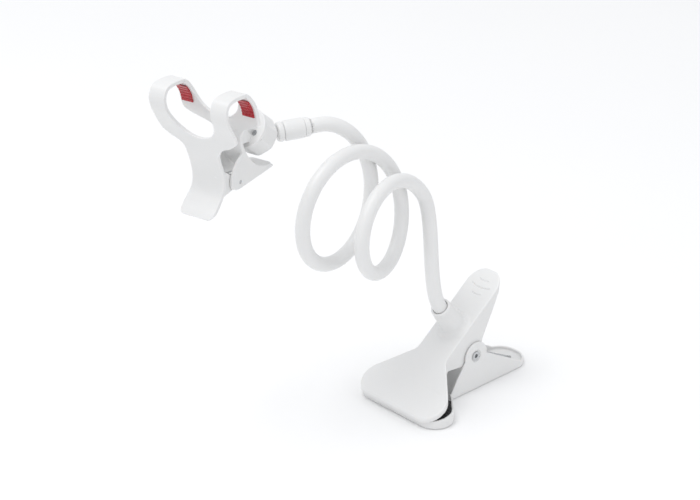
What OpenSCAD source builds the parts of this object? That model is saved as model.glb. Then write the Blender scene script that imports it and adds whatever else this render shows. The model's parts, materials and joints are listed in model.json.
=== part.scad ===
// Desk phone holder: a spring clamp for a table edge, a bent flexible neck and
// a spring jaw for the phone on a ball joint. All sizes in millimetres.
// Origin: middle of the desk clamp's jaws, where their lips meet.
// +X: along the jaw lips. -Y: out of the jaws' mouth. +Z: up.

/* [Desk clamp] */
// Overall width of the two desk clamp jaws
jaw_w = 82.4; // [70:100]
// Radius of the rounded jaw lobes
lobe_r = 13; // [10:14.5]
// Width of the sloping handle
handle_w = 30.6; // [27:36]
// Distance of the handle's end behind the grip point
handle_reach = 92.3; // [84:110]
// Distance of the lower arm's end behind the grip point
tail_reach = 123; // [117:142]
// Thickness of the moulded plates of the clamp
plate_t = 2.4; // [1.8:3]
// Thickness of the moulded side walls of the clamp
wall_t = 2.2; // [1.6:2.6]
// Radius of the pivot pin
pin_r = 2.0; // [1.5:2.5]
// Height of the socket boss for the neck
boss_h = 24.5; // [18:30]

/* [Neck] */
// Diameter of the plastic tube
tube_d = 11; // [9:12]
// Radius of the first loop, at the phone end
loop_r1 = 51.2; // [46:54]
// Radius of the last loop, at the clamp end
loop_r2 = 34.5; // [31:38]
// Height of the first loop's centre
loop_z1 = 168.6; // [162:176]
// Diameter of the sleeve at the phone end
sleeve_d = 15; // [13:17]

/* [Ball joint] */
// Radius of the ball
ball_r = 9; // [8:9.6]
// Diameter of the round flange
flange_d = 30.8; // [28:32]
// Width of the lock nut across its flats
nut_flats = 27.8; // [26:29]

/* [Phone jaws] */
// Distance between the middles of the two arms
arm_gap = 52.6; // [46:62]
// Width of one arm
arm_w = 13.4; // [11:16]
// Thickness of the moulded jaws
jaw_t = 3; // [2.4:3.6]
// Width of the front jaw's paddle at its waist
paddle_w = 27.4; // [23:32]
// Width of a red grip pad
pad_w = 9.8; // [8:11]

/* [Hidden] */
shell_color = [0.93, 0.93, 0.92];
rubber_color = [0.06, 0.06, 0.065];
steel_color = [0.62, 0.63, 0.65];
grip_color = [0.80, 0.03, 0.05];
slop = 0.06;
jaw_half = jaw_w / 2;
handle_half = handle_w / 2;
front_y = -14;
slope1 = 27;
slope2 = 37.5;
bend_y = 8;
lip_gap = 0.1;
rim_slope = 23.7;
pivot = [0, 59, 23.7];
ear_r = 11.5;
floor_z = -5.2;

// Helpers

function top_z(y) = y < bend_y ? 3.6 + (y - front_y) * tan(slope1)
  : 3.6 + (bend_y - front_y) * tan(slope1) + (y - bend_y) * tan(slope2);
function rim_z(y) = lip_gap + (y - front_y) * tan(rim_slope);
function unit(v) = v / norm(v);
function flip(pts) = [for (i = [len(pts) - 1 : -1 : 0]) pts[i]];
function mirror_x(pts) = [for (p = flip(pts)) [-p[0], p[1]]];

// smooth curve through the given points, n pieces between two of them
function curve_at(a, b, c, d, t) = 0.5 * (2 * b + (c - a) * t
  + (2 * a - 5 * b + 4 * c - d) * t * t + (3 * b - a - 3 * c + d) * t * t * t);
function curve(p, n) = let (m = len(p) - 1) [
  for (i = [0 : m - 1]) for (j = [0 : n - 1])
    curve_at(i == 0 ? 2 * p[0] - p[1] : p[i - 1], p[i], p[i + 1],
      i == m - 1 ? 2 * p[m] - p[m - 1] : p[i + 2], j / n),
  p[m]];
// the same curve moved sideways by d, to the right of its direction
function beside(p, d) = let (m = len(p) - 1) [
  for (i = [0 : m]) let (t = unit(p[min(i + 1, m)] - p[max(i - 1, 0)]))
    p[i] + d * [t[1], -t[0]]];

// a Y-Z outline from x0 to x1
module side(pts, x0, x1) {
  translate([x0, 0, 0]) rotate([90, 0, 90]) linear_extrude(x1 - x0) polygon(pts);
}
// a Y-Z disc from x0 to x1
module bar(c, r, x0, x1) {
  translate([x0, c[1], c[2]]) rotate([0, 90, 0]) cylinder(r = r, h = x1 - x0, $fn = 48);
}

// Desk clamp

lobe_a = 48;

// jaw lobes of radius lr at lobe_c, tapering to half width h and running back
// to y1, all inset by i
module clamp_plan(lobe_c, lr, h, y1, er, fr, i) {
  r = lr - i;
  f = fr + i;
  hh = h - i;
  tp = lobe_c + r * [cos(lobe_a), sin(lobe_a)];
  yc = tp[1] + (tp[0] - hh) / tan(lobe_a);
  k = f * tan((90 - lobe_a + 6) / 2);
  for (s = [-1, 1]) {
    translate([s * lobe_c[0], lobe_c[1]]) circle(r, $fn = 96);
    translate([s * (hh - er + i), y1 - er]) circle(er - i, $fn = 64);
    difference() {
      polygon([[s * (hh - 1), yc - 2], [s * (hh + k * sin(lobe_a)), yc - k * cos(lobe_a)],
        [s * hh, yc + k]]);
      translate([s * (hh + f), yc + f * tan((90 - lobe_a) / 2)]) circle(f, $fn = 96);
    }
  }
  polygon([[-lobe_c[0], lobe_c[1] - r], [lobe_c[0], lobe_c[1] - r], tp, [hh, yc],
    [hh, y1 - er], [hh - er + i, y1 - i], [-(hh - er + i), y1 - i], [-hh, y1 - er],
    [-hh, yc], [-tp[0], tp[1]]]);
}

module upper_plan(i) {
  clamp_plan([jaw_half - lobe_r, front_y + lobe_r], lobe_r, handle_half, handle_reach,
    12.5, 9, i);
}
module lower_plan(i) {
  clamp_plan([jaw_half - lobe_r + 0.8, front_y + lobe_r + 4], lobe_r + 1.3, low_half,
    tail_reach, 16, 6, i);
}

end_s = handle_reach - 92.3;
upper_side = [[front_y, lip_gap], [31.5, rim_z(31.5)], [44.4, 18.5], [50, 17.9],
  [59, 15.5], [66.5, 20], [66.9, 34], [83.3 + end_s, 66.4 + end_s * 0.77],
  [84.6 + end_s, 66.9 + end_s * 0.77], [88 + end_s, top_z(88 + end_s) - plate_t / cos(slope2)],
  [handle_reach + 1, top_z(handle_reach + 1) - plate_t / cos(slope2)],
  [handle_reach + 1, top_z(handle_reach + 1)], [bend_y, top_z(bend_y)],
  [front_y - 1, top_z(front_y - 1)], [front_y - 1, lip_gap]];

low_half = handle_half + 2.1;

upper_hollow = [[front_y - 2, -20], [front_y - 2, top_z(front_y - 2) - plate_t / cos(slope1)],
  [bend_y + 0.3, top_z(bend_y + 0.3) - plate_t / cos(slope1) - 0.06],
  [handle_reach + 2, top_z(handle_reach + 2) - plate_t / cos(slope2)],
  [handle_reach + 2, -20]];

boss_y = 50.9;
boss_base = [0, boss_y, top_z(boss_y)];
boss_axis = [0, -sin(slope2), cos(slope2)];
boss_rim = boss_base + boss_h * boss_axis;
boss_depth = 17;
foot_r = min(14.6, handle_half - 0.7);
tube_r = tube_d / 2;

module on_handle(y) {
  translate([0, y, top_z(y)]) rotate([slope2, 0, 0]) children();
}

module groove(y, x0, x1) {
  on_handle(y) intersection() {
    translate([(x0 + x1) / 2, 24, 0]) difference() {
      cylinder(r = 24.45, h = 1, center = true, $fn = 96);
      cylinder(r = 23.55, h = 2, center = true, $fn = 96);
    }
    translate([x0, -3, -0.5]) cube([x1 - x0, 6, 1]);
  }
}

module clamp_upper_arm() color(shell_color) difference() {
  union() {
    difference() {
      intersection() {
        union() {
          side(upper_side, -60, 60);
          bar(pivot, 8.8, -60, 60);
        }
        linear_extrude(200) upper_plan(0);
      }
      intersection() {
        side(upper_hollow, -60, 60);
        union() {
          translate([0, 0, -30]) linear_extrude(200) upper_plan(wall_t);
          translate([-(handle_half - wall_t), handle_reach - 12, -20])
            cube([2 * (handle_half - wall_t), 30, 200]);
        }
      }
    }
    // socket boss with a rounded foot
    on_handle(boss_y) {
      translate([0, 0, -plate_t - 3]) cylinder(r = 6.5, h = 6, $fn = 64);
      rotate_extrude($fn = 96) difference() {
        polygon([[0, -0.5], [foot_r, -0.5], [foot_r, 0], [9.6, 5.6], [7.9, boss_h - 0.7],
          [7.2, boss_h], [0, boss_h]]);
        translate([foot_r + 0.15, 5.2]) circle(foot_r - 9.45, $fn = 64);
      }
    }
    // hubs round the pivot, inside the skirts
    for (s = [-1, 1]) bar(pivot, pin_r + 2.6, s > 0 ? 9 : -handle_half + 0.5,
      s > 0 ? handle_half - 0.5 : -9);
    // two ribs under the handle end
    for (x = [-6.8, 6.8]) side([[70, top_z(70) - 5], [84, top_z(84) - 5],
      [88, top_z(88) - 1], [66, top_z(66) - 1]], x - 0.7, x + 0.7);
  }
  // socket for the neck, and the screw's hole from below
  on_handle(boss_y) {
    translate([0, 0, boss_h - boss_depth]) cylinder(r = tube_r + 0.08, h = boss_depth + 1, $fn = 64);
    translate([0, 0, boss_h - 1.2]) cylinder(r = tube_r + 0.5, h = 3, $fn = 64);
    translate([0, 0, -8]) cylinder(r = 2.1, h = boss_h, $fn = 40);
  }
  bar(pivot, pin_r + slop, -40, 40);
  groove(83.8 + end_s, -5, 4);
  groove(78.8 + end_s, -9, 9);
  groove(74 + end_s, -4, 5);
}

tail_s = tail_reach - 123;
head_in = 0.95;
low_front = front_y + 2.7;
low_rim = [[27, 3.6], [21, 5.3], [14, 4.9], [5, 4], [low_front, 1.1], [low_front - 2, 1.1]];
lower_side = concat([[low_front - 2, floor_z], [tail_reach + 1, floor_z],
  [tail_reach + 1, -0.5], [112 + tail_s, -0.5], [105 + tail_s, 3.6], [68.5, 23.6],
  [66, 28.5], [pivot[1], pivot[2]], [48.5, 23], [46.4, 20.2], [42.4, 15], [38.6, 10.2],
  [34, 2.9], [32.5, 0.6], [31, 1]], low_rim);
lower_hollow = [[low_front - 2, -1.3], [low_front, -1.3], [5, 1.6], [14, 2.5], [20, 2.8],
  [25, -0.6], [29, floor_z + 2.2], [tail_reach + 2, floor_z + 2.2], [tail_reach + 2, 60],
  [low_front - 2, 60]];

module clamp_lower_arm() color(shell_color) difference() {
  union() {
    difference() {
      intersection() {
        union() {
          side(lower_side, -60, 60);
          bar(pivot, ear_r, -60, 60);
        }
        union() {
          translate([0, 0, floor_z - 1]) linear_extrude(60) lower_plan(0);
          translate([-low_half, 30, 0]) cube([2 * low_half, 60, 50]);
        }
      }
      intersection() {
        side(lower_hollow, -60, 60);
        translate([0, 0, -10]) linear_extrude(80) lower_plan(1.75);
      }
    }
    // floor ribs that keep the spring's leg in place
    for (x = [1.6, 6.2]) side([[94, floor_z + 1], [113, floor_z + 1], [113, floor_z + 3.2],
      [94, floor_z + 3.2]], x - 0.5, x + 0.5);
  }
  bar(pivot, pin_r + 0.02, -40, 40);
  // recess round the pin's head in each ear
  for (s = [-1, 1]) bar(pivot, 5, s > 0 ? low_half - head_in : -low_half - 2,
    s > 0 ? low_half + 2 : -low_half + head_in);
}

module clamp_pivot_pin() color(steel_color) difference() {
  union() {
    bar(pivot, pin_r, -low_half + 0.5, low_half - 0.5);
    for (s = [-1, 1]) bar(pivot, pin_r + 1.7, s > 0 ? low_half - head_in + 0.02 : -low_half + 0.1,
      s > 0 ? low_half - 0.1 : -low_half + head_in - 0.02);
  }
  // blind hole in each riveted end
  for (s = [-1, 1]) bar(pivot, pin_r - 0.5, s > 0 ? low_half - 2.6 : -low_half - 1,
    s > 0 ? low_half + 1 : -low_half + 2.6);
}

pad_y = 23.2;
module clamp_upper_pad() color(rubber_color) difference() {
  intersection() {
    side([[front_y, rim_z(front_y) + 0.3], [pad_y, rim_z(pad_y) + 0.3],
      [pad_y, top_z(pad_y) - plate_t / cos(slope2) - 0.04],
      [bend_y + 0.3, top_z(bend_y + 0.3) - plate_t / cos(slope1) - 0.10],
      [front_y, top_z(front_y) - plate_t / cos(slope1) - 0.04]], -60, 60);
    translate([0, 0, -5]) linear_extrude(60) upper_plan(wall_t + 0.1);
  }
  for (y = [-4 : 3 : 20]) translate([-60, y, rim_z(y) + 0.3]) rotate([45 + rim_slope, 0, 0])
    cube([120, 0.6, 0.6]);
}

module clamp_lower_pad() color(rubber_color) difference() {
  intersection() {
    side([[low_front, -1.27], [5, 1.63], [14, 2.53], [19.8, 2.82], [19.8, 4.7], [14, 4.5],
      [5, 3.6], [low_front, 0.7]], -60, 60);
    translate([0, 0, -5]) linear_extrude(60) lower_plan(1.85);
  }
  for (y = [-6 : 3 : 18]) let (z = y < 5 ? 2.9 + (y - 5) * 0.178 : 2.9 + (y - 5) * 0.09)
    translate([-60, y, z]) rotate([45 + 8, 0, 0]) cube([120, 1, 1]);
}

module neck_screw() color(steel_color) on_handle(boss_y) {
  translate([0, 0, -plate_t - 3.06]) {
    translate([0, 0, -2]) difference() {
      cylinder(r = 3.6, h = 2, $fn = 48);
      translate([-4, -0.45, -0.1]) cube([8, 0.9, 1.1]);
      translate([-0.45, -4, -0.1]) cube([0.9, 8, 1.1]);
    }
    translate([0, 0, -0.01]) cylinder(r = 2, h = plate_t + 3 + boss_h - boss_depth - 0.2, $fn = 40);
  }
}

// Torsion springs and the neck: a round section along a path

module sweep(pts, r, n, ri = 0, ref = [1, 0, 0]) {
  m = len(pts);
  t = [for (i = [0 : m - 1]) unit(pts[min(i + 1, m - 1)] - pts[max(i - 1, 0)])];
  u = [for (i = [0 : m - 1]) unit(cross(t[i], ref))];
  v = [for (i = [0 : m - 1]) cross(t[i], u[i])];
  ring = function (rr) [for (i = [0 : m - 1]) for (j = [0 : n - 1])
    pts[i] + rr * (cos(360 * j / n) * u[i] + sin(360 * j / n) * v[i])];
  skin = function (o, f) [for (i = [0 : m - 2]) for (j = [0 : n - 1])
    let (a = o + i * n + j, b = o + i * n + (j + 1) % n, c = b + n, d = a + n)
      each (f ? [[a, b, c], [a, c, d]] : [[a, c, b], [a, d, c]])];
  if (ri == 0) {
    polyhedron(ring(r), concat(skin(0, false), [[for (j = [0 : n - 1]) j]],
      [[for (j = [n - 1 : -1 : 0]) (m - 1) * n + j]]));
  } else {
    o = m * n;
    polyhedron(concat(ring(r), ring(ri)), concat(skin(0, false), skin(o, true),
      [for (j = [0 : n - 1]) let (k = (j + 1) % n) each [[j, k, o + k], [j, o + k, o + j]]],
      [for (j = [0 : n - 1]) let (k = (j + 1) % n, e = (m - 1) * n)
        each [[e + j, o + e + k, e + k], [e + j, o + e + j, o + e + k]]]));
  }
}

// coil about the X axis through c, from angle a0 at x0 to a1 at x1, plus two legs
function coil(c, r, a0, a1, x0, x1, n) = [for (i = [0 : n]) let (f = i / n, a = a0 + f * (a1 - a0))
  c + [x0 + f * (x1 - x0), r * cos(a), r * sin(a)]];

module clamp_spring() color(steel_color) {
  r = pin_r + 2.7;
  ye = 86 + end_s;
  ze = top_z(ye) - plate_t / cos(slope2) - 1.25;
  sweep(concat([[-4.6, ye, ze], [-4.6, ye - 3, ze - 2.9]],
    coil(pivot, r, 146.5, 1695.3, -4.6, 3.9, 84),
    [[3.9, 85, 12], [3.9, 107.5, 0.3], [3.9, 112.5, floor_z + 3.2]]), 0.9, 8);
}

function loop_c(f) = [-54.4 + f * 38.9, -43.6 + f * 61, loop_z1 + f * (129.9 - loop_z1)];
function loop_p(a) = let (f = (90 - a) / 790, r = loop_r1 + f * (loop_r2 - loop_r1),
  h = -0.6 + f * 19.4, q = -2.1 - f * 7.4, t = [-sin(h), cos(h), 0],
  w = cos(q) * [0, 0, 1] + sin(q) * [cos(h), sin(h), 0])
  loop_c(f) + r * (cos(a) * t + sin(a) * w);
function loop_t(a) = unit(loop_p(a - 0.5) - loop_p(a + 0.5));
function hermite(p, u, q, v, t) = (2 * t * t * t - 3 * t * t + 1) * p + (t * t * t - 2 * t * t + t) * u
  + (3 * t * t - 2 * t * t * t) * q + (t * t * t - t * t) * v;

head_at = [-73.3, -104.4, 190.0];
head_turn = 13;
ball_yz = [35.7, 20.7];
head_w = [cos(head_turn), sin(head_turn), 0];
head_n = [-sin(head_turn), cos(head_turn), 0];
ball_at = head_at + ball_yz[0] * head_n + [0, 0, ball_yz[1]];
stem_dir = unit([0.398, 0.916, 0.048]);
a_in = 42;
a_out = -690;
lead_in = ball_at + 47 * stem_dir;
k_in = norm(loop_p(a_in) - lead_in) * 1.02;
k_out = norm(loop_p(a_out) - boss_rim) * 0.85;

function neck_path(s) = concat(
  [ball_at + s * stem_dir, ball_at + 41 * stem_dir],
  [for (i = [0 : 7]) hermite(lead_in, k_in * stem_dir, loop_p(a_in), k_in * loop_t(a_in), i / 8)],
  [for (i = [0 : 72]) loop_p(a_in + (a_out - a_in) * i / 72)],
  [for (i = [1 : 9]) hermite(loop_p(a_out), k_out * loop_t(a_out), boss_rim, -k_out * boss_axis, i / 10)],
  [boss_rim, boss_rim - (boss_depth - 0.15) * boss_axis]);

module gooseneck_sleeve() color(shell_color) sweep(neck_path(35.1), tube_r, 14, 3.0);
module gooseneck_core() color(steel_color) sweep(neck_path(30), 2.9, 8);

module on_stem(l) {
  translate(ball_at + l * stem_dir)
    rotate([0, acos(stem_dir[2]), atan2(stem_dir[1], stem_dir[0])]) children();
}

module neck_ferrule() color(shell_color) on_stem(0) rotate_extrude($fn = 72) difference() {
  r = sleeve_d / 2 - 0.35;
  polygon([[0, 34.1], [r - 0.3, 34.1], [r, 34.5], [r, 37.2], [r - 0.5, 38.1], [r - 1, 38.4],
    [0, 38.4]]);
  polygon([[0, 33], [3.0, 33], [3.0, 35], [tube_r + 0.04, 35], [tube_r + 0.04, 37.2],
    [tube_r + 0.55, 37.3], [tube_r + 0.55, 39], [0, 39]]);
}

module neck_sleeve() color(shell_color) on_stem(0) rotate_extrude($fn = 72) difference() {
  r = sleeve_d / 2;
  polygon([[0, 18.4], [r - 1.1, 18.4], [r - 0.5, 18.8], [r - 0.1, 19.6], [r, 20.6], [r, 33],
    [r - 0.3, 33.8], [r - 0.7, 34], [0, 34]]);
  polygon([[0, 18], [3.4, 18], [3.4, 21.5], [5, 21.5], [5, 28], [3, 29.6], [3, 35], [0, 35]]);
}

module stem_collar() color(shell_color) on_stem(0) rotate_extrude($fn = 72) difference() {
  r = sleeve_d / 2 - 0.2;
  union() {
    polygon([[0, 13.6], [r - 1.8, 13.6], [r, 15.4], [r, 17.2], [r - 0.4, 18], [r - 1, 18.3],
      [0, 18.3]]);
    translate([r - 1.8, 15.4]) circle(1.8, $fn = 40);
  }
  polygon([[0, 13], [3.4, 13], [3.4, 19], [0, 19]]);
}

module ball_stem() color(shell_color) on_stem(0) rotate_extrude($fn = 72) {
  intersection() {
    circle(ball_r, $fn = 96);
    translate([0, -ball_r]) square([ball_r + 1, 2 * ball_r]);
  }
  polygon([[0, 0], [3.3, 0], [3.3, 22], [4.8, 22], [4.8, 25], [0, 25]]);
}

// Phone holder head, in its own frame: X width, Y to the rear, Z up

module head() {
  translate(head_at) rotate([0, 0, head_turn]) children();
}
// along the ball socket's axis, from the ball's middle
module socket() {
  head() translate([0, ball_yz[0], ball_yz[1]]) rotate([-128, 0, 0]) children();
}

module lock_nut() color(shell_color) socket() difference() {
  intersection() {
    translate([0, 0, -15.3]) rotate([0, 0, 22.5])
      cylinder(r = nut_flats / 2 / cos(22.5), h = 17.5, $fn = 8);
    rotate_extrude($fn = 96) polygon([[0, -15.3], [nut_flats / 2 + 0.3, -15.3],
      [nut_flats / 2 + 1.2, -14.2], [nut_flats / 2 + 1.2, 1.2], [nut_flats / 2, 2.2], [0, 2.2]]);
  }
  translate([0, 0, -16]) cylinder(r = 11.35, h = 15.7, $fn = 72);
  // neck next to the flange
  translate([0, 0, -16]) difference() {
    cylinder(r = 20, h = 1.7, $fn = 72);
    translate([0, 0, -1]) cylinder(r = 12.7, h = 4, $fn = 72);
  }
  sphere(r = ball_r + slop, $fn = 72);
  translate([0, 0, -0.5]) cylinder(r1 = 7.2, r2 = 9.0, h = 3, $fn = 72);
  rotate_extrude($fn = 72) polygon([[0, 1.5], [8.75, 1.5], [10, 2.5], [0, 2.5]]);
}

module ball_socket() color(shell_color) socket() difference() {
  union() {
    translate([0, 0, -15.35]) cylinder(r = 11.2, h = 14.9, $fn = 72);
  }
  sphere(r = ball_r + slop, $fn = 72);
  for (s = [-1, 1]) translate([8.3 * s, 2.5, -16]) cylinder(r = 0.95, h = 8, $fn = 24);
  // four slots that let the cup grip the ball
  for (a = [45, 135]) rotate([0, 0, a]) translate([-20, -0.6, -7]) cube([40, 1.2, 8]);
}

module flange_screw(s) color(steel_color) socket() translate([8.3 * s, 2.5, 0]) {
  difference() {
    translate([0, 0, -17.43]) cylinder(r = 1.9, h = 1.0, $fn = 32);
    translate([-1.2, -0.25, -17.5]) cube([2.4, 0.5, 0.6]);
    translate([-0.25, -1.2, -17.5]) cube([0.5, 2.4, 0.6]);
  }
  translate([0, 0, -16.5]) cylinder(r = 0.9, h = 7, $fn = 24);
}
module flange_screw_left() flange_screw(-1);
module flange_screw_right() flange_screw(1);

arm_x = arm_gap / 2;
arm_out = arm_x + arm_w / 2;
arm_in = arm_x - arm_w / 2;
front_line = curve([[-39.4, -14.4], [-36.6, -11.2], [-31, -5.6], [-25.4, 0.6], [-23.6, 8],
  [-25.2, 17], [-28.6, 27], [-30.6, 36], [-33.6, 45], [-38.6, 54], [-42.9, 62.5],
  [-43.6, 70], [-40.4, 75.8], [-34, 77.8], [-27, 77.8], [-20.9, 77.2]], 5);
rear_line = curve([[-20.2, 77.3], [-16.2, 74.4], [-12.3, 70], [-9.4, 65.6], [-7.6, 61],
  [-6.4, 56.5], [-4.6, 51.2], [-0.8, 45.4], [2.4, 40.4], [3.4, 36], [3.7, 32], [4.3, 27],
  [6.5, 21.2], [10.1, 15.6], [14.8, 10.2], [20.5, 5.9], [26.3, 3.2], [33, 1.7], [39, 1.2]], 5);
tip_y = -20.7;
pw = paddle_w / 2;
front_edge = curve([[pw - 3.4, -16], [pw - 0.6, -13.9], [pw + 0.8, -10.4], [pw + 0.2, 0], [pw, 9],
  [pw - 0.1, 18], [pw - 0.3, 26], [pw + 0.9, 31.5], [pw + 4.8, 35.5], [arm_out - 7, 39],
  [arm_out - 1.8, 43], [arm_out, 48.5], [arm_out, 56], [arm_out, 64], [arm_out, 90]], 5);
rear_edge = curve([[10.6, -20], [10.6, 10], [10.6, 28], [10.8, 33], [12.2, 37], [15.5, 40.2],
  [arm_out - 11.5, 43], [arm_out - 5, 46], [arm_out - 1, 49.5], [arm_out, 54], [arm_out, 60],
  [arm_out, 66], [arm_out, 90]], 5);

module yoke(edge, notch_z) {
  difference() {
    polygon(concat(edge, mirror_x(edge)));
    translate([0, notch_z + arm_in]) circle(arm_in, $fn = 96);
    translate([-arm_in, notch_z + arm_in]) square([2 * arm_in, 100]);
  }
}

// the layer between the distances a and b beside a Y-Z line
module layer(line, a, b) {
  translate([-60, 0, 0]) rotate([90, 0, 90]) linear_extrude(120)
    polygon(concat(beside(line, a), flip(beside(line, b))));
}

module bent_plate(line, t, edge, notch_z) {
  intersection() {
    layer(line, 0, t);
    translate([0, 80, 0]) rotate([90, 0, 0]) linear_extrude(160) yoke(edge, notch_z);
  }
}

module front_jaw() color(shell_color) head() difference() {
  union() {
    bent_plate(front_line, jaw_t, front_edge, 42);
    for (s = [-1, 1]) {
      side([[-22.2, 16], [-16.5, 13.6], [-3.5, 4.2], [0, 0], [-1, -4.9], [-7, -4.7],
        [-20, -7], [-29, -5.6], [-24.5, 0], [-22.6, 8]], s > 0 ? 6.1 : -8.2, s > 0 ? 8.2 : -6.1);
      bar([0, 0, 0], 5, s > 0 ? 6.1 : -8.2, s > 0 ? 8.2 : -6.1);
    }
    // stiffening web between the ears
    side([[-21.6, 9.5], [-18.5, 9.5], [-18.5, 11.5], [-21.6, 11.5]], -7, 7);
  }
  bar([0, 0, 0], 1.4 + slop, -20, 20);
}

module rear_jaw() color(shell_color) head() difference() {
  union() {
    difference() {
      bent_plate(rear_line, jaw_t, rear_edge, 49.8);
      // rounded corners of the tail
      for (s = [-1, 1]) translate([s * 10.6, 39.5, -20]) rotate([0, 0, 45])
        cube([5, 5, 60], center = true);
    }
    for (s = [-1, 1]) {
      side([[5, 22.4], [2.6, 19.8], [-2.4, 16.2], [-6.6, 11.6], [-9.6, 5.6], [-10.2, 0.4],
        [-8.6, -3], [-5, -4.7], [0, -5], [38.6, -1.5], [38.6, 0.2], [33, 0.7], [26.3, 2],
        [20.5, 4.6], [14, 9.6], [9, 15.4], [5.6, 21]], s > 0 ? 8.5 : -10.6, s > 0 ? 10.6 : -8.5);
    }
    // bridge from the neck to the round flange
    side([[1, 40], [2.2, 33], [3, 26], [15.9, 24.2], [26.4, 37.6], [24.4, 39.8]], -7.5, 7.5);
    translate([0, ball_yz[0], ball_yz[1]]) rotate([-128, 0, 0])
      translate([0, 0, -18.4]) cylinder(r = flange_d / 2, h = 3, $fn = 96);
  }
  bar([0, 0, 0], 1.42, -20, 20);
  // the tips end where the front jaw's hooks begin
  translate([-60, -40, 65]) cube([120, 40 + tip_y, 20]);
  translate([0, ball_yz[0], ball_yz[1]]) rotate([-128, 0, 0]) for (s = [-1, 1])
    translate([8.3 * s, 2.5, 0]) {
      translate([0, 0, -25]) cylinder(r = 2.1, h = 8.58, $fn = 32);
      translate([0, 0, -25]) cylinder(r = 0.95, h = 12, $fn = 24);
    }
}

module jaw_pivot_pin() color(steel_color) head() bar([0, 0, 0], 1.4, -10.1, 10.1);

module jaw_spring() color(steel_color) head() sweep(concat(
  [[-3.4, 28, -1.2]], coil([0, 0, 0], 3.1, 81.2, 1181, -3.4, 3.0, 66),
  [[3.0, -24.5, -4.3]]), 0.6, 6);

grip_t = 1.1;
grip_z = [[54, 69], [56, 70]];
module grip_pad(line, x, z) {
  difference() {
    intersection() {
      layer(line, jaw_t + 0.02, jaw_t + grip_t);
      translate([x - pad_w / 2, -60, z[0]]) cube([pad_w, 90, z[1] - z[0]]);
    }
    // straight grooves across its face
    intersection() {
      layer(line, jaw_t + grip_t - 0.35, jaw_t + grip_t + 1);
      for (i = [1 : 5]) translate([x, 0, z[0] + i * (z[1] - z[0]) / 6])
        cube([30, 200, 0.7], center = true);
    }
  }
}

module front_pad_left() color(grip_color) head() grip_pad(front_line, -arm_x, grip_z[0]);
module front_pad_right() color(grip_color) head() grip_pad(front_line, arm_x, grip_z[0]);
module rear_pad_left() color(grip_color) head() grip_pad(rear_line, -arm_x, grip_z[1]);
module rear_pad_right() color(grip_color) head() grip_pad(rear_line, arm_x, grip_z[1]);

clamp_upper_arm();
clamp_lower_arm();
clamp_pivot_pin();
clamp_spring();
clamp_upper_pad();
clamp_lower_pad();
neck_screw();
gooseneck_sleeve();
gooseneck_core();
neck_ferrule();
neck_sleeve();
stem_collar();
ball_stem();
lock_nut();
ball_socket();
flange_screw_left();
flange_screw_right();
rear_jaw();
front_jaw();
jaw_pivot_pin();
jaw_spring();
front_pad_left();
front_pad_right();
rear_pad_left();
rear_pad_right();
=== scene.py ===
import json
import math

import bmesh
import bpy
import numpy as np
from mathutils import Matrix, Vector


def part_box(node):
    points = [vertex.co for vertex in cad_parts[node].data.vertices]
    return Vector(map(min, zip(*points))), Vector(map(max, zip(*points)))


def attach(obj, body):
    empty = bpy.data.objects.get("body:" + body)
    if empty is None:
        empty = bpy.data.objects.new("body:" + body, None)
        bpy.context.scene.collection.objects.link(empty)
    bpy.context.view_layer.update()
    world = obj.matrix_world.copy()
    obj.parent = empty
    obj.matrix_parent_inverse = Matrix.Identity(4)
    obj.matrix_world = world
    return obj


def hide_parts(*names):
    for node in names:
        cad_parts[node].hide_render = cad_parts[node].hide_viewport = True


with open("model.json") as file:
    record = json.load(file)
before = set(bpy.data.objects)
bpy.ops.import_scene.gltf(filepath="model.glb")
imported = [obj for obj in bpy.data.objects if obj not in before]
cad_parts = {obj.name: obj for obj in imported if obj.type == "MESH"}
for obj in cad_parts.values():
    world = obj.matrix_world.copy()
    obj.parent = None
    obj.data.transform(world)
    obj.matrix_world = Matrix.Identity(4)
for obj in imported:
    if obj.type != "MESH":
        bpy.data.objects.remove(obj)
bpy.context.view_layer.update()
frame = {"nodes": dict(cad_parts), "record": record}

bl_info = {
    "name": "Desk phone holder",
    "version": (1, 0, 0),
    "blender": (4, 5, 0),
    "location": "View3D > Sidebar > Phone Holder",
    "description": "Soft-edged mouldings, grips, springs and bent neck of a desk phone holder",
    "category": "Object",
}

NODES = frame["nodes"]
BODIES = frame["record"]["behaviour"]["bodies"]
SLOTS = {part["node"]: part["material_slot"] for part in frame["record"]["subparts"]}

# The photograph's frame, in pixels, and where the world origin shows in it
PHOTO_SIZE = (700, 500)
FOCAL_PX = 2000.0
ORIGIN_PX = (404.6, 401.3)
ORIGIN_DEPTH = 1.504


def low(node):
    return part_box(node)[0]


def high(node):
    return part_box(node)[1]


class HolderFinish(bpy.types.PropertyGroup):
    """Colours and finish of the holder's materials"""

    plastic_color: bpy.props.FloatVectorProperty(
        name="Plastic", description="Colour of the white mouldings",
        subtype="COLOR", size=3, min=0, max=1, default=(0.84, 0.84, 0.835))
    plastic_roughness: bpy.props.FloatProperty(
        name="Plastic roughness", description="How matt the mouldings are",
        subtype="FACTOR", min=0, max=1, default=0.36)
    grip_color: bpy.props.FloatVectorProperty(
        name="Grips", description="Colour of the phone jaws' silicone grips",
        subtype="COLOR", size=3, min=0, max=1, default=(0.47, 0.006, 0.017))
    rubber_color: bpy.props.FloatVectorProperty(
        name="Jaw rubber", description="Colour of the desk clamp's ribbed rubber",
        subtype="COLOR", size=3, min=0, max=1, default=(0.022, 0.022, 0.024))
    steel_color: bpy.props.FloatVectorProperty(
        name="Steel", description="Colour of pins, screws and springs",
        subtype="COLOR", size=3, min=0, max=1, default=(0.56, 0.57, 0.58))


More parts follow.
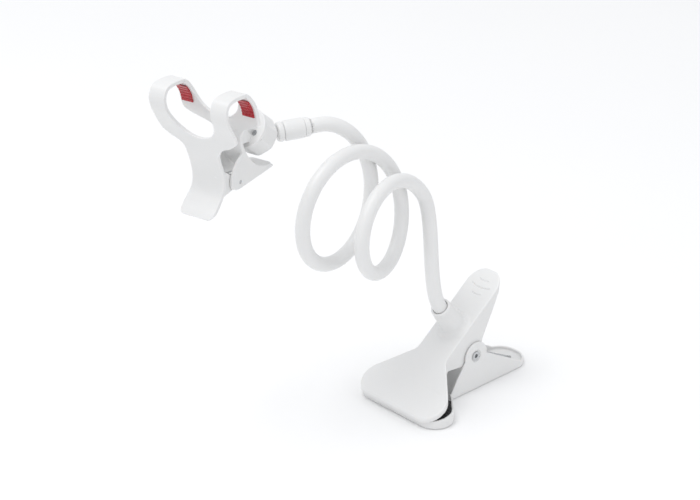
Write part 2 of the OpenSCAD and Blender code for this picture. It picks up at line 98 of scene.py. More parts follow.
class HolderEdges(bpy.types.PropertyGroup):
    """How far the moulded edges are rounded"""

    top_edge: bpy.props.FloatProperty(
        name="Upper arm edge", description="Radius along the top edge of the clamp's upper arm",
        subtype="DISTANCE", unit="LENGTH", min=0.0005, max=0.0022, default=0.0011)
    floor_edge: bpy.props.FloatProperty(
        name="Lower arm edge", description="Radius along the bottom edge of the clamp's lower arm",
        subtype="DISTANCE", unit="LENGTH", min=0.0005, max=0.004, default=0.0014)
    grain: bpy.props.FloatProperty(
        name="Moulding grain", description="Size of the cells that the mouldings are rebuilt from",
        subtype="DISTANCE", unit="LENGTH", min=0.0003, max=0.001, default=0.0004)


class HolderNeck(bpy.types.PropertyGroup):
    """The bent tube between the clamp and the ball joint"""

    tube_radius: bpy.props.FloatProperty(
        name="Tube radius", description="Outer radius of the plastic tube",
        subtype="DISTANCE", unit="LENGTH", min=0.004, max=0.007, default=0.0055)
    first_loop: bpy.props.FloatProperty(
        name="First loop", description="Radius of the loop at the phone end",
        subtype="DISTANCE", unit="LENGTH", min=0.045, max=0.055, default=0.0512)
    last_loop: bpy.props.FloatProperty(
        name="Last loop", description="Radius of the loop at the clamp end",
        subtype="DISTANCE", unit="LENGTH", min=0.03, max=0.04, default=0.0345)
    tube_sides: bpy.props.IntProperty(
        name="Sides", description="Sides round the tube", min=16, max=96, default=48)


class HolderStage(bpy.types.PropertyGroup):
    """Floor, lights and the photograph's point of view"""

    azimuth: bpy.props.FloatProperty(
        name="Azimuth", description="Camera's angle round the holder",
        subtype="ANGLE", unit="ROTATION", default=math.radians(47.0))
    elevation: bpy.props.FloatProperty(
        name="Elevation", description="Camera's angle above the floor",
        subtype="ANGLE", unit="ROTATION", default=math.radians(25.5))
    floor_color: bpy.props.FloatVectorProperty(
        name="Floor", description="Colour of the floor", subtype="COLOR",
        size=3, min=0, max=1, default=(0.96, 0.96, 0.96))
    key_power: bpy.props.FloatProperty(
        name="Key light", description="Power of the large light", unit="POWER", min=0, default=20.0)
    fill_power: bpy.props.FloatProperty(
        name="Fill light", description="Power of the light from the right", unit="POWER",
        min=0, default=1.8)
    sky: bpy.props.FloatProperty(
        name="Sky", description="Strength of the even light from all round", min=0, default=0.80)


# Materials

def new_material(name):
    mat = bpy.data.materials.get(name) or bpy.data.materials.new(name)
    mat.use_nodes = True
    tree = mat.node_tree
    tree.nodes.clear()
    out = tree.nodes.new("ShaderNodeOutputMaterial")
    skin = tree.nodes.new("ShaderNodeBsdfPrincipled")
    tree.links.new(skin.outputs["BSDF"], out.inputs["Surface"])
    return mat, tree, skin


def object_noise(tree, scale, detail=3.0, roughness=0.5, stretch=(1, 1, 1)):
    place = tree.nodes.new("ShaderNodeTexCoord")
    spread = tree.nodes.new("ShaderNodeMapping")
    spread.inputs["Scale"].default_value = stretch
    noise = tree.nodes.new("ShaderNodeTexNoise")
    noise.inputs["Scale"].default_value = scale
    noise.inputs["Detail"].default_value = detail
    noise.inputs["Roughness"].default_value = roughness
    tree.links.new(place.outputs["Object"], spread.inputs["Vector"])
    tree.links.new(spread.outputs["Vector"], noise.inputs["Vector"])
    return noise.outputs["Fac"]


def remap(tree, value, a, b, lo, hi):
    node = tree.nodes.new("ShaderNodeMapRange")
    for socket, number in zip(("From Min", "From Max", "To Min", "To Max"), (a, b, lo, hi)):
        node.inputs[socket].default_value = number
    tree.links.new(value, node.inputs["Value"])
    return node.outputs["Result"]


def bump(tree, skin, heights):
    """Chains bumps: heights lists (height output, depth in metres, strength)."""
    last = None
    for height, depth, strength in heights:
        node = tree.nodes.new("ShaderNodeBump")
        node.inputs["Distance"].default_value = depth
        node.inputs["Strength"].default_value = strength
        tree.links.new(height, node.inputs["Height"])
        if last:
            tree.links.new(last, node.inputs["Normal"])
        last = node.outputs["Normal"]
    tree.links.new(last, skin.inputs["Normal"])


def two_tones(tree, factor, dark, light):
    mix = tree.nodes.new("ShaderNodeMix")
    mix.data_type = "RGBA"
    tree.links.new(factor, mix.inputs[0])
    mix.inputs[6].default_value = (*dark, 1)
    mix.inputs[7].default_value = (*light, 1)
    return mix.outputs[2]


def shade(color, k):
    return tuple(min(1.0, c * k) for c in color)


def white_plastic(finish):
    """Satin white moulding: faint cloudiness, fine spark-eroded grain, painted shade in its creases
    and hollows.
    """
    mat, tree, skin = new_material("satin_white_plastic")
    color = tuple(finish.plastic_color)
    cloud = object_noise(tree, 26, 4.0)
    tone = two_tones(tree, remap(tree, cloud, 0.3, 0.7, 0, 1),
                     shade(color, 0.975), shade(color, 1.015))
    geometry = tree.nodes.new("ShaderNodeNewGeometry")
    # Painted shade: concave creases and hollows (low pointiness) take a darker copy of the colour,
    # convex edges keep the plain tone
    edge = remap(tree, geometry.outputs["Pointiness"], 0.47, 0.56, 0, 1)
    shaded_creases = tree.nodes.new("ShaderNodeMix")
    shaded_creases.data_type = "RGBA"
    tree.links.new(edge, shaded_creases.inputs[0])
    crease_shade_tone = two_tones(tree, cloud, shade(color, 0.90), shade(color, 0.93))
    tree.links.new(crease_shade_tone, shaded_creases.inputs[6])
    tree.links.new(tone, shaded_creases.inputs[7])
    tree.links.new(shaded_creases.outputs[2], skin.inputs["Base Color"])
    patch = object_noise(tree, 140, 3.0)
    rough = finish.plastic_roughness
    tree.links.new(remap(tree, patch, 0.3, 0.7, rough - 0.05, rough + 0.07),
                   skin.inputs["Roughness"])
    grain = object_noise(tree, 2600, 2.0, 0.6)
    flow = object_noise(tree, 60, 2.0)
    bump(tree, skin, [(flow, 0.00025, 0.25), (grain, 0.00003, 0.35)])
    skin.inputs["IOR"].default_value = 1.49
    skin.inputs["Subsurface Weight"].default_value = 0.12
    skin.inputs["Subsurface Radius"].default_value = (0.0012, 0.0011, 0.0010)
    skin.inputs["Subsurface Scale"].default_value = 1.0
    return mat


def red_silicone(finish):
    """Glossy red silicone, uneven in tone, with a lightly pitted skin."""
    mat, tree, skin = new_material("glossy_red_silicone")
    color = tuple(finish.grip_color)
    cloud = object_noise(tree, 160, 3.0)
    tone = two_tones(tree, cloud, shade(color, 0.72), shade(color, 1.15))
    tree.links.new(tone, skin.inputs["Base Color"])
    patch = object_noise(tree, 700, 2.0)
    tree.links.new(remap(tree, patch, 0.3, 0.7, 0.20, 0.34), skin.inputs["Roughness"])
    pits = object_noise(tree, 3200, 2.0)
    bump(tree, skin, [(patch, 0.00006, 0.4), (pits, 0.00003, 0.4)])
    skin.inputs["IOR"].default_value = 1.43
    skin.inputs["Coat Weight"].default_value = 0.3
    skin.inputs["Coat Roughness"].default_value = 0.12
    skin.inputs["Subsurface Weight"].default_value = 0.05
    skin.inputs["Subsurface Radius"].default_value = (0.002, 0.0005, 0.0004)
    skin.inputs["Subsurface Scale"].default_value = 1.0
    return mat


def black_rubber(finish):
    """Dull black rubber, dusty on its high spots."""
    mat, tree, skin = new_material("ribbed_black_rubber")
    color = tuple(finish.rubber_color)
    dust = object_noise(tree, 420, 5.0, 0.65)
    tone = two_tones(tree, remap(tree, dust, 0.45, 0.75, 0, 1), color, shade(color, 2.4))
    tree.links.new(tone, skin.inputs["Base Color"])
    tree.links.new(remap(tree, dust, 0.3, 0.7, 0.55, 0.8), skin.inputs["Roughness"])
    pores = object_noise(tree, 2400, 3.0)
    bump(tree, skin, [(dust, 0.00012, 0.5), (pores, 0.00004, 0.5)])
    skin.inputs["IOR"].default_value = 1.52
    return mat


def drawn_steel(name, color, roughness):
    """Drawn wire and turned pins: fine lines, small stains."""
    mat, tree, skin = new_material(name)
    stain = object_noise(tree, 500, 4.0)
    lines = object_noise(tree, 900, 3.0, 0.6, stretch=(0.15, 3.0, 3.0))
    tone = two_tones(tree, stain, shade(color, 0.84), shade(color, 1.1))
    tree.links.new(tone, skin.inputs["Base Color"])
    tree.links.new(remap(tree, lines, 0.3, 0.7, roughness - 0.07, roughness + 0.1),
                   skin.inputs["Roughness"])
    bump(tree, skin, [(lines, 0.00002, 0.5)])
    skin.inputs["Metallic"].default_value = 1.0
    return mat


def make_materials():
    finish = bpy.context.scene.holder_finish
    return {
        "white_plastic": white_plastic(finish),
        "red_grip": red_silicone(finish),
        "black_rubber": black_rubber(finish),
        "steel": drawn_steel("drawn_steel", tuple(finish.steel_color), 0.26),
        "core_metal": drawn_steel("core_aluminium", (0.75, 0.76, 0.77), 0.38),
    }


def material_of(slot):
    names = {"white_plastic": "satin_white_plastic", "red_grip": "glossy_red_silicone",
             "black_rubber": "ribbed_black_rubber", "steel": "drawn_steel",
             "core_metal": "core_aluminium"}
    mat = bpy.data.materials.get(names[slot])
    if mat is None:
        mat = make_materials()[slot]
    return mat


# Pieces

# Cell sizes of the small mouldings, in metres
SCREW_CELL = 0.00012
GRIP_CELL = 0.00015
PIN_CELL = 0.00018
SLEEVE_CELL = 0.00022
JOINT_CELL = 0.0003


def body_of(node):
    for body, nodes in BODIES.items():
        if node in nodes:
            return body
    raise RuntimeError("no body holds " + node)


def add_piece(name, mesh, node):
    """Puts a mesh in the scene in a node's place: same body, same material slot."""
    piece = bpy.data.objects.new(name, mesh)
    bpy.context.scene.collection.objects.link(piece)
    mesh.materials.clear()
    mesh.materials.append(material_of(SLOTS[node]))
    mesh.polygons.foreach_set("use_smooth", [True] * len(mesh.polygons))
    mesh.update()
    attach(piece, body_of(node))
    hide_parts(node)
    return piece


def welded_copy(node):
    mesh = NODES[node].data.copy()
    work = bmesh.new()
    work.from_mesh(mesh)
    bmesh.ops.remove_doubles(work, verts=work.verts, dist=1e-6)
    work.to_mesh(mesh)
    work.free()
    return mesh


def applied(mesh, kind, **settings):
    """The mesh with one modifier applied."""
    holder = bpy.data.objects.new("work", mesh)
    bpy.context.scene.collection.objects.link(holder)
    step = holder.modifiers.new("step", kind)
    for key, value in settings.items():
        setattr(step, key, value)
    graph = bpy.context.evaluated_depsgraph_get()
    made = bpy.data.meshes.new_from_object(holder.evaluated_get(graph))
    bpy.data.objects.remove(holder)
    bpy.data.meshes.remove(mesh)
    return made


def points_of(mesh):
    flat = np.empty(len(mesh.vertices) * 3, dtype=np.float32)
    mesh.vertices.foreach_get("co", flat)
    return flat.reshape(-1, 3).astype(float)


def set_points(mesh, points):
    mesh.vertices.foreach_set("co", points.astype(np.float32).ravel())
    mesh.update()


def moulded(name, node, cell, soften=5, keep=1.0, shape=None, carve=None):
    """A node's form as a moulding: closed skin of fine cells, softened edges."""
    mesh = applied(welded_copy(node), "REMESH", mode="VOXEL", voxel_size=cell)
    if shape:
        set_points(mesh, shape(points_of(mesh)))
    mesh = applied(mesh, "SMOOTH", factor=0.5, iterations=soften)
    if carve:
        set_points(mesh, carve(points_of(mesh)))
    if keep < 1.0:
        mesh = applied(mesh, "DECIMATE", ratio=keep)
    return add_piece(name, mesh, node)


# Rounded outer edges of the two clamp arms

def arc(centre, radius, start, end, steps):
    return [(centre[0] + radius * math.cos(math.radians(start + (end - start) * i / steps)),
             centre[1] + radius * math.sin(math.radians(start + (end - start) * i / steps)))
            for i in range(steps + 1)]


def arm_outline(lobe, lobe_r, half, end, corner_r, fillet_r, lean=48.0):
    """Closed outline seen from above: two lobes, concave shoulders, straight handle."""
    a = math.radians(lean)
    tip = (lobe[0] + lobe_r * math.cos(a), lobe[1] + lobe_r * math.sin(a))
    neck_y = tip[1] + (tip[0] - half) / math.tan(a)
    shoulder = (half + fillet_r, neck_y + fillet_r * math.tan(math.radians((90 - lean) / 2)))
    right = arc(lobe, lobe_r, -90, lean, 24)
    right += arc(shoulder, fillet_r, 180 + lean, 180, 8)
    right += arc((half - corner_r, end - corner_r), corner_r, 0, 90, 12)
    return np.array(right + [(-x, y) for x, y in reversed(right)])


def inset_of(points, outline):
    """Each point's distance inside an anticlockwise outline, and the way inward."""
    start = outline
    step = np.roll(outline, -1, axis=0) - start
    length2 = (step ** 2).sum(1)
    best = np.full(len(points), 1e9)
    inset = np.zeros(len(points))
    inward = np.zeros((len(points), 2))
    for s, d, l2 in zip(start, step, length2):
        if l2 < 1e-14:
            continue
        rel = points - s
        t = np.clip(rel @ d / l2, 0, 1)
        off = rel - t[:, None] * d
        dist = np.hypot(off[:, 0], off[:, 1])
        near = dist < best
        normal = np.array([-d[1], d[0]]) / math.sqrt(l2)
        best[near] = dist[near]
        inset[near] = np.where(off[near] @ normal >= 0, dist[near], -dist[near])
        far = dist > 1e-7
        way = np.where(far[:, None], off / np.maximum(dist, 1e-9)[:, None], normal)
        way *= np.where(far & (off @ normal < 0), -1, 1)[:, None]
        inward[near] = way[near]
    return inset, inward


def round_edge(points, outline, depth, rise, radius):
    """Moves what lies outside a fillet onto it. depth: distance below the face, rise: the
    vector that leads out of the face."""
    inset, inward = inset_of(points[:, :2], outline)
    a = radius - np.maximum(inset, 0)
    b = radius - np.maximum(depth, 0)
    reach = np.hypot(a, b)
    hit = (a > 0) & (b > 0) & (reach > radius)
    k = radius / np.maximum(reach, 1e-9)
    side_step = a - a * k
    down_step = b - b * k
    moved = points.copy()
    moved[hit, :2] += inward[hit] * side_step[hit, None]
    moved[hit] -= rise[hit] * down_step[hit, None]
    return moved


# Sizes of the desk clamp that its rounded edges follow, in metres
LOBE_R = 0.013
HANDLE_HALF = 0.0153
NOSE_Y = -0.014
NOSE_TOP = 0.0036
BEND_Y = 0.008
NOSE_SLOPE = math.radians(27.0)
HANDLE_SLOPE = math.radians(37.5)
ARM_WALL = 0.0024
LOWER_MORE = 0.0013
CLAMP_PIVOT = Vector((0, 0.059, 0.0237))
FACE_BAND = 0.0009


def handle_top(y):
    """Height of the handle's upper face at a place along Y."""
    return (NOSE_TOP + (BEND_Y - NOSE_Y) * math.tan(NOSE_SLOPE)
            + (y - BEND_Y) * math.tan(HANDLE_SLOPE))


def upper_outline():
    jaw_half = high("clamp_upper_arm").x
    return arm_outline((jaw_half - LOBE_R, NOSE_Y + LOBE_R), LOBE_R, HANDLE_HALF,
                       high("clamp_upper_arm").y, 0.0125, 0.009)


def lower_outline():
    lobe_r = LOBE_R + LOWER_MORE
    return arm_outline((high("clamp_lower_arm").x - lobe_r, NOSE_Y + LOBE_R + 0.004), lobe_r,
                       HANDLE_HALF + 0.0021, high("clamp_lower_arm").y, 0.016, 0.006)


def round_upper(points):
    radius = bpy.context.scene.holder_edges.top_edge
    y, z = points[:, 1], points[:, 2]
    nose = NOSE_TOP + (y - NOSE_Y) * math.tan(NOSE_SLOPE)
    handle = handle_top(y)
    steep = y > BEND_Y
    slope = np.where(steep, HANDLE_SLOPE, NOSE_SLOPE)
    depth = (np.where(steep, handle, nose) - z) * np.cos(slope)
    rise = np.stack([np.zeros_like(y), -np.sin(slope), np.cos(slope)], axis=1)
    return round_edge(points, upper_outline(), depth, rise, radius)


# The finger grooves near the handle's end: place along Y and the two ends along X, in metres
GROOVES = ((0.0838, -0.0050, 0.0040), (0.0788, -0.0090, 0.0090), (0.0740, -0.0040, 0.0050))
GROOVE_BEND = 0.024
GROOVE_DEPTH = 0.0005
GROOVE_HALF = 0.00045


def carve_grooves(points):
    """Presses the three short curved grooves into the handle's face."""
    along = np.array([0.0, math.cos(HANDLE_SLOPE), math.sin(HANDLE_SLOPE)])
    rise = np.array([0.0, -math.sin(HANDLE_SLOPE), math.cos(HANDLE_SLOPE)])
    moved = points.copy()
    for y, x0, x1 in GROOVES:
        local = points - np.array([0.0, y, handle_top(y)])
        across = local[:, 0] - (x0 + x1) / 2
        arc_gap = np.abs(np.hypot(across, local @ along - GROOVE_BEND) - GROOVE_BEND)
        past_end = np.maximum(np.abs(across) - (x1 - x0) / 2, 0)
        reach = np.hypot(arc_gap, past_end) / GROOVE_HALF
        face = np.abs(local @ rise) < FACE_BAND
        depth = np.where(face, GROOVE_DEPTH * np.exp(-reach ** 2), 0)
        moved -= depth[:, None] * rise
    return moved


def round_lower(points):
    radius = bpy.context.scene.holder_edges.floor_edge
    depth = points[:, 2] - low("clamp_lower_arm").z
    rise = np.tile([0.0, 0.0, -1.0], (len(points), 1))
    return round_edge(points, lower_outline(), depth, rise, radius)


# Round wire and tube along a path

def tube_mesh(name, path, radius, sides, ends=0.6):
    """A closed tube along the points. ends: how much of its radius the rims are eased by."""
    path = [Vector(p) for p in path]
    first = (path[1] - path[0]).normalized()
    last = (path[-1] - path[-2]).normalized()
    rim = radius * (1 - ends)
    rings = [(path[0], rim, first)]
    for i, p in enumerate(path):
        ahead = path[min(i + 1, len(path) - 1)] - path[max(i - 1, 0)]
        centre = p
        if i == 0:
            centre = p + first * rim * 0.7
        if i == len(path) - 1:
            centre = p - last * rim * 0.7
        rings.append((centre, radius, ahead.normalized()))
    rings.append((path[-1], rim, last))
    work = bmesh.new()
    side = rings[0][2].orthogonal().normalized()
    loops = []
    for centre, r, ahead in rings:
        side = (side - ahead * side.dot(ahead)).normalized()
        up = ahead.cross(side)
        loops.append([work.verts.new(centre + r * (math.cos(2 * math.pi * j / sides) * side
                      + math.sin(2 * math.pi * j / sides) * up)) for j in range(sides)])
    for a, b in zip(loops, loops[1:]):
        for j in range(sides):
            k = (j + 1) % sides
            work.faces.new((a[j], a[k], b[k], b[j]))
    work.faces.new(list(reversed(loops[0])))
    work.faces.new(loops[-1])
    bmesh.ops.recalc_face_normals(work, faces=work.faces)
    mesh = bpy.data.meshes.new(name)
    work.to_mesh(mesh)
    work.free()
    return mesh


def hermite(p, u, q, v, t):
    return ((2 * t ** 3 - 3 * t ** 2 + 1) * p + (t ** 3 - 2 * t ** 2 + t) * u
            + (3 * t ** 2 - 2 * t ** 3) * q + (t ** 3 - t ** 2) * v)


# Where the neck starts and ends, in metres
HEAD_TURN = math.radians(13.0)
HEAD_AT = Vector((-0.0733, -0.1044, 0.1900))
HEAD_REAR = Vector((-math.sin(HEAD_TURN), math.cos(HEAD_TURN), 0))
HEAD_SIDE = Vector((math.cos(HEAD_TURN), math.sin(HEAD_TURN), 0))
BALL_AT = HEAD_AT + 0.0357 * HEAD_REAR + Vector((0, 0, 0.0207))
STEM = Vector((0.398, 0.916, 0.048)).normalized()
BOSS_Y = 0.0509
BOSS_HEIGHT = 0.0245
BOSS_DEPTH = 0.017
BOSS_AXIS = Vector((0, -math.sin(HANDLE_SLOPE), math.cos(HANDLE_SLOPE)))
TUBE_START = 0.0352
LEAD_POINTS = (0.038, 0.041, 0.044)
LEAD_END = 0.047

# The two loops, as angles in degrees: where the tube joins and leaves them, the angle their
# change is counted from and over, and how their plane turns and leans from start to end
FIRST_ANGLE = 42.0
LAST_ANGLE = -690.0
CHANGE_FROM = 90
CHANGE_OVER = 790
TURN_FIRST, TURN_MORE = -0.6, 19.4
LEAN_FIRST, LEAN_MORE = -2.1, 7.4
LOOP_STEPS = 288
LOOP_START = Vector((-0.0544, -0.0436, 0.1686))
LOOP_STEP = Vector((0.0389, 0.0610, 0.1299 - 0.1686))


def loop_point(angle):
    """A point of the two loops: radius, centre and lean change evenly along them."""
    neck = bpy.context.scene.holder_neck
    f = (CHANGE_FROM - angle) / CHANGE_OVER
    radius = neck.first_loop + f * (neck.last_loop - neck.first_loop)
    turn = math.radians(TURN_FIRST + f * TURN_MORE)
    lean = math.radians(LEAN_FIRST - f * LEAN_MORE)
    along = Vector((-math.sin(turn), math.cos(turn), 0))
    up = math.cos(lean) * Vector((0, 0, 1)) + math.sin(lean) * Vector(
        (math.cos(turn), math.sin(turn), 0))
    a = math.radians(angle)
    return LOOP_START + f * LOOP_STEP + radius * (math.cos(a) * along + math.sin(a) * up)


def loop_direction(angle):
    return (loop_point(angle - 0.5) - loop_point(angle + 0.5)).normalized()


def neck_path():
    """Out of the sleeve, round both loops and down into the boss of the clamp."""
    rim = Vector((0, BOSS_Y, handle_top(BOSS_Y))) + BOSS_HEIGHT * BOSS_AXIS
    lead = BALL_AT + LEAD_END * STEM
    first, last = loop_point(FIRST_ANGLE), loop_point(LAST_ANGLE)
    pull_in = (first - lead).length * 1.02
    pull_out = (last - rim).length * 0.85
    path = [BALL_AT + reach * STEM for reach in (TUBE_START, *LEAD_POINTS)]
    path += [hermite(lead, pull_in * STEM, first, pull_in * loop_direction(FIRST_ANGLE), i / 24)
             for i in range(24)]
    path += [loop_point(FIRST_ANGLE + (LAST_ANGLE - FIRST_ANGLE) * i / LOOP_STEPS)
             for i in range(LOOP_STEPS + 1)]
    way_out = pull_out * loop_direction(LAST_ANGLE)
    path += [hermite(last, way_out, rim, -pull_out * BOSS_AXIS, i / 30) for i in range(1, 30)]
    path += [rim - BOSS_AXIS * BOSS_DEPTH * i / 4 * 0.99 for i in range(5)]
    return path


def coil_path(place, radius, start, end, x0, x1, steps):
    """A coil about the local X axis; place turns local points into world ones."""
    made = []
    for i in range(steps + 1):
        f = i / steps
        a = math.radians(start + f * (end - start))
        made.append(place(Vector((x0 + f * (x1 - x0), radius * math.cos(a), radius * math.sin(a)))))
    return made


def in_head(p):
    return HEAD_AT + p.x * HEAD_SIDE + p.y * HEAD_REAR + Vector((0, 0, p.z))


def bent_wire(points, bend):
    """Cuts the corners of a wire's path into short curves, as a bending pin leaves them."""
    made = [points[0]]
    for before, corner, after in zip(points, points[1:], points[2:]):
        a, b = before - corner, after - corner
        straight = a.angle(b) > math.radians(165)
        if straight:
            made.append(corner)
            continue
        ka = min(bend, a.length * 0.45)
        kb = min(bend, b.length * 0.45)
        p, q = corner + a.normalized() * ka, corner + b.normalized() * kb
        for i in range(7):
            t = i / 6
            made.append((1 - t) ** 2 * p + 2 * t * (1 - t) * corner + t * t * q)
    made.append(points[-1])
    return made


class HolderOperator(bpy.types.Operator):
    bl_options = {"REGISTER", "UNDO"}


class HOLDER_OT_materials(HolderOperator):
    """Make the plastic, silicone, rubber and metal"""

    bl_idname = "holder.materials"
    bl_label = "Materials"

    def execute(self, context):
        make_materials()
        return {"FINISHED"}


class HOLDER_OT_desk_clamp(HolderOperator):
    """Mould the two arms of the desk clamp, with their pads, pin and screw"""

    bl_idname = "holder.desk_clamp"
    bl_label = "Desk clamp"

    def execute(self, context):
        cell = context.scene.holder_edges.grain
        moulded("upper_arm_moulding", "clamp_upper_arm", cell, 4, 0.48, round_upper, carve_grooves)
        moulded("lower_arm_moulding", "clamp_lower_arm", cell, 5, 0.45, round_lower)
        moulded("upper_jaw_rubber", "clamp_upper_pad", cell, 2, 0.5)
        moulded("lower_jaw_rubber", "clamp_lower_pad", cell, 2, 0.5)
        moulded("clamp_hinge_pin", "clamp_pivot_pin", PIN_CELL, 3, 0.5)
        moulded("neck_fixing_screw", "neck_screw", GRIP_CELL, 2, 0.5)
        return {"FINISHED"}


class HOLDER_OT_springs(HolderOperator):
    """Wind the torsion springs of both jaws"""

    bl_idname = "holder.springs"
    bl_label = "Springs"

    def execute(self, context):
        self.wind_clamp_spring()
        self.wind_jaw_spring()
        return {"FINISHED"}

    def wind_clamp_spring(self):
        x0, x1 = -0.0046, 0.0039
        leg_y = 0.086
        leg_z = handle_top(leg_y) - ARM_WALL / math.cos(HANDLE_SLOPE) - 0.00125
        start = [Vector((x0, leg_y, leg_z)), Vector((x0, leg_y - 0.003, leg_z - 0.0029))]
        end = [Vector((x1, 0.085, 0.0120)), Vector((x1, 0.1075, 0.0003)),
               Vector((x1, 0.1125, low("clamp_lower_arm").z + 0.0032))]
        turns = coil_path(lambda p: CLAMP_PIVOT + p, 0.0047, 146.5, 1695.3, x0, x1, 220)
        wire = bent_wire(start + turns + end, 0.002)
        add_piece("clamp_spring_wire", tube_mesh("clamp_spring_wire", wire, 0.0009, 16, 0.3),
                  "clamp_spring")

    def wind_jaw_spring(self):
        x0, x1 = -0.0034, 0.0030
        start = [in_head(Vector((x0, 0.028, -0.0012)))]
        end = [in_head(Vector((x1, -0.0245, -0.0043)))]
        turns = coil_path(in_head, 0.0031, 81.2, 1181.0, x0, x1, 180)
        wire = bent_wire(start + turns + end, 0.001)
        add_piece("jaw_spring_wire", tube_mesh("jaw_spring_wire", wire, 0.0006, 14, 0.3),
                  "jaw_spring")


class HOLDER_OT_neck(HolderOperator):
    """Bend the tube through its two loops and add the turned ends"""

    bl_idname = "holder.neck"
    bl_label = "Neck"

    def execute(self, context):
        neck = context.scene.holder_neck
        path = neck_path()
        add_piece("bent_tube", tube_mesh("bent_tube", path, neck.tube_radius, neck.tube_sides, 0.1),
                  "gooseneck_sleeve")
        moulded("tube_ferrule", "neck_ferrule", SLEEVE_CELL, 3, 0.5)
        moulded("neck_end_sleeve", "neck_sleeve", SLEEVE_CELL, 4, 0.5)
        moulded("rounded_collar", "stem_collar", SLEEVE_CELL, 4, 0.5)
        core = NODES["gooseneck_core"]
        core.material_slots[0].material = material_of("core_metal")
        return {"FINISHED"}


class HOLDER_OT_ball_joint(HolderOperator):
    """Mould the ball, its cup and the lock nut, and set the two flange screws"""

    bl_idname = "holder.ball_joint"
    bl_label = "Ball joint"

    def execute(self, context):
        moulded("ball_and_stem", "ball_stem", JOINT_CELL, 3, 0.6)
        moulded("lock_nut_moulding", "lock_nut", JOINT_CELL, 5, 0.5)
        moulded("ball_cup", "ball_socket", 0.0004, 3, 0.6)
        for side in ("left", "right"):
            moulded("flange_fixing_" + side, "flange_screw_" + side, SCREW_CELL, 2, 0.5)
        return {"FINISHED"}


class HOLDER_OT_phone_jaws(HolderOperator):
    """Mould the two phone jaws with their red grips and hinge pin"""

    bl_idname = "holder.phone_jaws"
    bl_label = "Phone jaws"

    def execute(self, context):
        cell = context.scene.holder_edges.grain
        moulded("rear_jaw_moulding", "rear_jaw", cell, 6, 0.5)
        moulded("front_jaw_moulding", "front_jaw", cell, 6, 0.5)
        moulded("jaw_hinge_pin", "jaw_pivot_pin", PIN_CELL, 3, 0.5)
        for jaw in ("front", "rear"):
            for side in ("left", "right"):
                node = "%s_pad_%s" % (jaw, side)
                moulded("red_grip_%s_%s" % (jaw, side), node, GRIP_CELL, 2, 0.5)
        return {"FINISHED"}


def look_along(direction):
    return direction.to_track_quat("-Z", "Y")


def add_area_light(name, place, target, size, power):
    light = bpy.data.lights.new(name, "AREA")
    light.shape = "DISK"
    light.size = size
    light.energy = power
    lamp = bpy.data.objects.new(name, light)
    lamp.location = place
    lamp.rotation_mode = "QUATERNION"
    lamp.rotation_quaternion = look_along(target - place)
    bpy.context.scene.collection.objects.link(lamp)
    return lamp


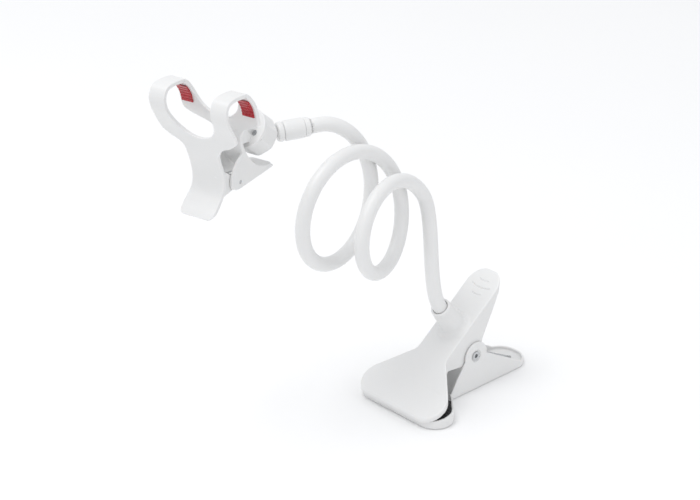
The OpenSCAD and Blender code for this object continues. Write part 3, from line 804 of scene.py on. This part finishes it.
class HOLDER_OT_stage(HolderOperator):
    """Lay the pale floor, hang the soft lights and set the photograph's camera"""

    bl_idname = "holder.stage"
    bl_label = "Stage"

    def execute(self, context):
        stage = context.scene.holder_stage
        self.add_floor(stage)
        self.add_camera(context, stage)
        self.add_lights(context, stage)
        return {"FINISHED"}

    def add_floor(self, stage):
        half = 6.0
        z = low("clamp_lower_arm").z - 0.0002
        mesh = bpy.data.meshes.new("studio_floor")
        mesh.from_pydata([(-half, -half, z), (half, -half, z), (half, half, z), (-half, half, z)],
                         [], [(0, 1, 2, 3)])
        floor = bpy.data.objects.new("studio_floor", mesh)
        bpy.context.scene.collection.objects.link(floor)
        mat, tree, skin = new_material("pale_floor")
        color = tuple(stage.floor_color)
        drift = object_noise(tree, 3, 2.0)
        tree.links.new(two_tones(tree, drift, shade(color, 0.99), shade(color, 1.01)),
                       skin.inputs["Base Color"])
        skin.inputs["Roughness"].default_value = 0.85
        skin.inputs["Specular IOR Level"].default_value = 0.2
        mesh.materials.append(mat)

    def add_camera(self, context, stage):
        az, el = stage.azimuth, stage.elevation
        back = Vector((math.sin(az) * math.cos(el), -math.cos(az) * math.cos(el), math.sin(el)))
        right = Vector((math.cos(az), math.sin(az), 0))
        up = back.cross(right)
        dx = (ORIGIN_PX[0] - PHOTO_SIZE[0] / 2) / FOCAL_PX * ORIGIN_DEPTH
        dy = (PHOTO_SIZE[1] / 2 - ORIGIN_PX[1]) / FOCAL_PX * ORIGIN_DEPTH
        data = bpy.data.cameras.new("photo_camera")
        data.sensor_fit = "HORIZONTAL"
        data.sensor_width = 36.0
        data.lens = FOCAL_PX / PHOTO_SIZE[0] * data.sensor_width
        data.clip_start, data.clip_end = 0.05, 30.0
        camera = bpy.data.objects.new("photo_camera", data)
        camera.location = back * ORIGIN_DEPTH - right * dx - up * dy
        camera.rotation_mode = "QUATERNION"
        camera.rotation_quaternion = look_along(-back)
        context.scene.collection.objects.link(camera)
        context.scene.camera = camera

    def add_lights(self, context, stage):
        target = Vector((-0.03, -0.01, 0.11))
        add_area_light("key_light", Vector((-0.45, -0.75, 2.3)), target, 1.5, stage.key_power)
        add_area_light("fill_light", Vector((1.7, 0.3, 1.1)), target, 1.2, stage.fill_power)
        world = context.scene.world or bpy.data.worlds.new("studio_sky")
        context.scene.world = world
        context.scene.view_settings.view_transform = "Standard"
        world.use_nodes = True
        sky = world.node_tree.nodes["Background"]
        sky.inputs["Color"].default_value = (0.97, 0.98, 1.0, 1)
        sky.inputs["Strength"].default_value = stage.sky


class HOLDER_PT_panel(bpy.types.Panel):
    """Builds the holder piece by piece from the 3D view's sidebar"""

    bl_idname = "HOLDER_PT_panel"
    bl_label = "Phone Holder"
    bl_space_type = "VIEW_3D"
    bl_region_type = "UI"
    bl_category = "Phone Holder"

    def draw(self, context):
        layout = self.layout
        for group in (context.scene.holder_finish, context.scene.holder_edges,
                      context.scene.holder_neck, context.scene.holder_stage):
            box = layout.box()
            for name in group.__annotations__:
                box.prop(group, name)
        for operator in OPERATORS:
            layout.operator(operator.bl_idname)


GROUPS = {"holder_finish": HolderFinish, "holder_edges": HolderEdges,
          "holder_neck": HolderNeck, "holder_stage": HolderStage}
OPERATORS = [HOLDER_OT_materials, HOLDER_OT_desk_clamp, HOLDER_OT_springs, HOLDER_OT_neck,
             HOLDER_OT_ball_joint, HOLDER_OT_phone_jaws, HOLDER_OT_stage]


def register():
    for cls in [*GROUPS.values(), *OPERATORS, HOLDER_PT_panel]:
        bpy.utils.register_class(cls)
    for name, group in GROUPS.items():
        setattr(bpy.types.Scene, name, bpy.props.PointerProperty(type=group))


def unregister():
    for name in GROUPS:
        delattr(bpy.types.Scene, name)
    for cls in reversed([*GROUPS.values(), *OPERATORS, HOLDER_PT_panel]):
        bpy.utils.unregister_class(cls)


def main():
    register()
    for operator in OPERATORS:
        group, name = operator.bl_idname.split(".")
        getattr(getattr(bpy.ops, group), name)()
    bpy.context.view_layer.update()


if __name__ == "__main__":
    main()
